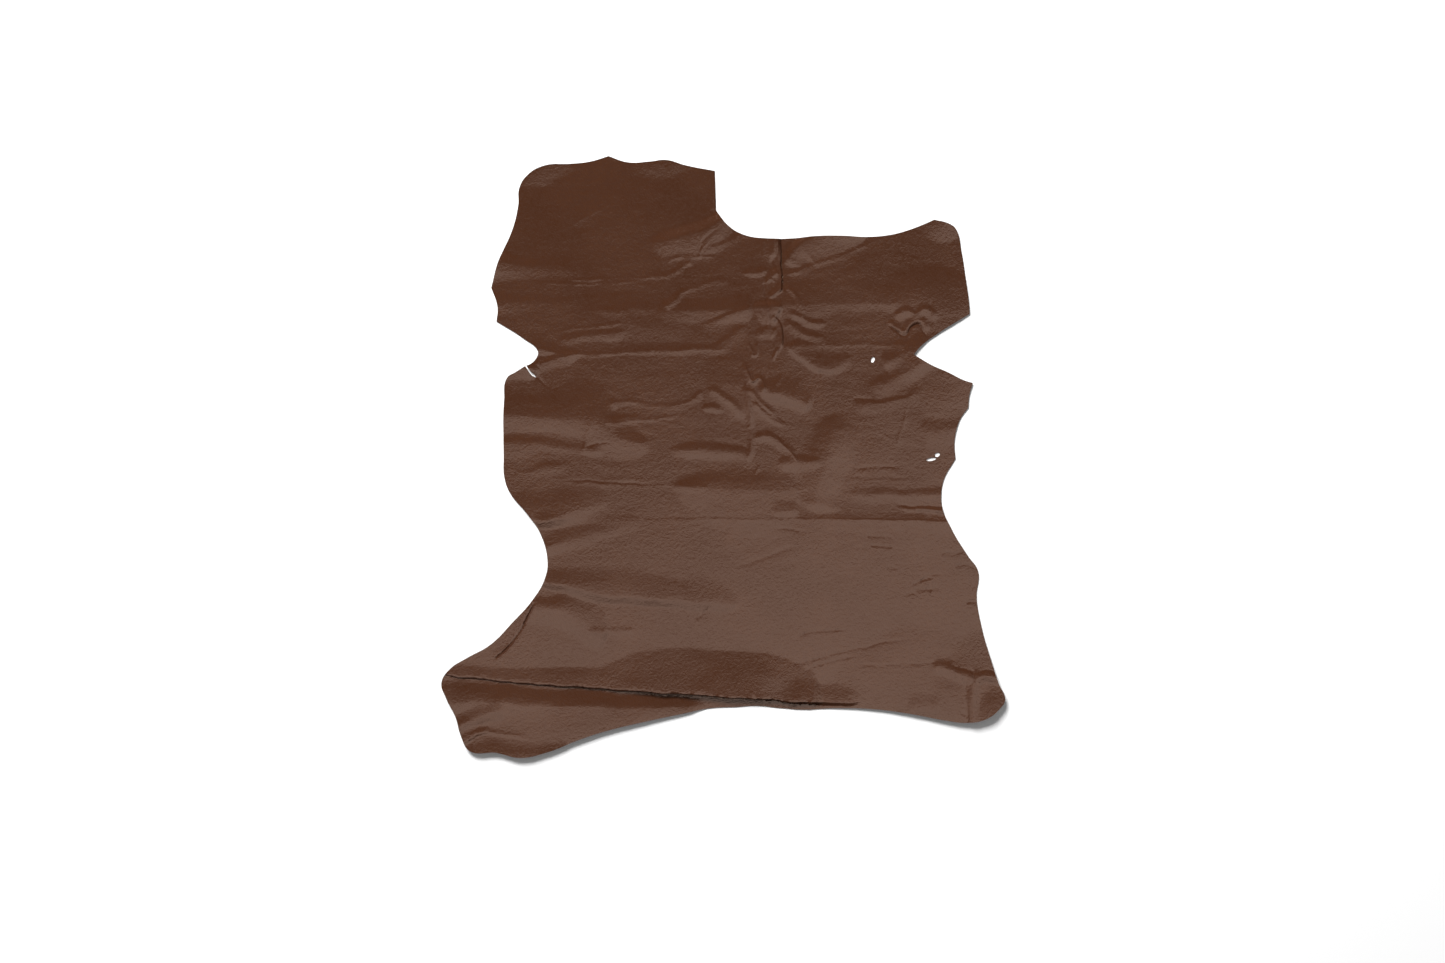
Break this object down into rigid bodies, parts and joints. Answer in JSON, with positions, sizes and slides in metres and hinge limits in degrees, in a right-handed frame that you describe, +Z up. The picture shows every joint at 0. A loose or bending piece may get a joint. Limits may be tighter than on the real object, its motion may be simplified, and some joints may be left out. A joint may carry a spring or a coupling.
{
  "type": "goatskin lining leather",
  "caption": "Whole thin brown goatskin for lining, laid flat grain side up, with leg and neck flaps, packing creases, soft crumples, small flay holes and a short edge tear.",
  "frame": {"origin": "middle of the skin's bounding box, on the surface that it lies on", "axes": "+X to the right and +Y towards the neck as seen from above the grain side, +Z up out of the grain side"},
  "size_m": [0.784, 0.837, 0.0136],
  "materials": {
    "leather": "semi-gloss pebbled grain, brown with a greyish sheen"
  },
  "bodies": {
    "root": {"goatskin": "leather"}
  },
  "joints": []
}
